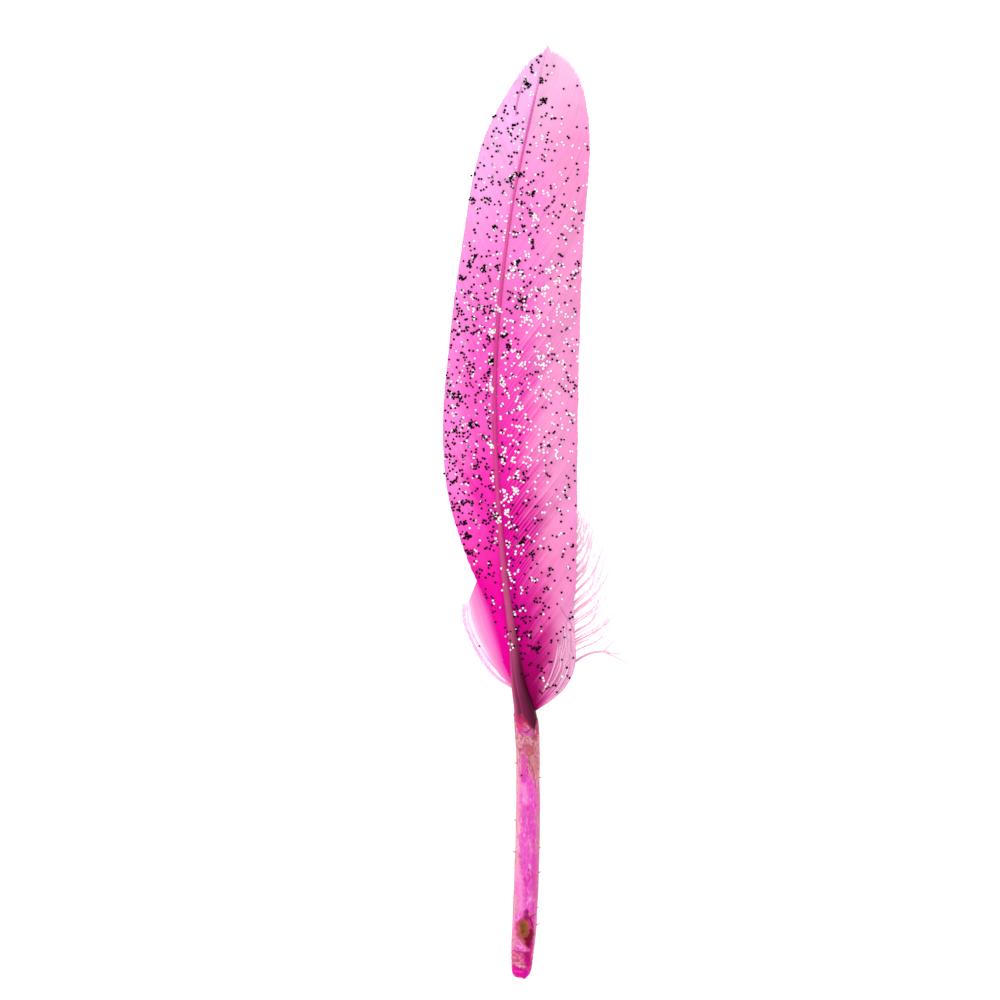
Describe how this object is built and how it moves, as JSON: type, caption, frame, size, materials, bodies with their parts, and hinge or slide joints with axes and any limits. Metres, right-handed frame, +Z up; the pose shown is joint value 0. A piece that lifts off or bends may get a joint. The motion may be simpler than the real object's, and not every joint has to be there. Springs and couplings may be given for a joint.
{
  "type": "feather",
  "caption": "Dyed pink wing feather with a hollow quill, two barbed vanes, loose down at its lower end and glitter flakes, lying flat.",
  "frame": {"origin": "middle of the feather's footprint, on the surface that it lies on", "axes": "+Y from the quill's cut end to the feather's tip, +X to the wide vane, +Z up from the surface"},
  "size_m": [0.0324, 0.155, 0.0041],
  "materials": {
    "horn": "translucent dyed horn, satin, mauve to plum along the rachis",
    "pith": "dry brown-red pith",
    "vane": "dyed barbs, soft sheen, hot pink fading to pale pink at the edges and the tip",
    "down": "pale pink downy barbs"
  },
  "bodies": {
    "root": {"shaft": "horn", "upper_pith": "pith", "lower_pith": "pith", "left_vane": "vane", "right_vane": "vane", "left_down": "down", "right_down": "down"}
  },
  "joints": []
}
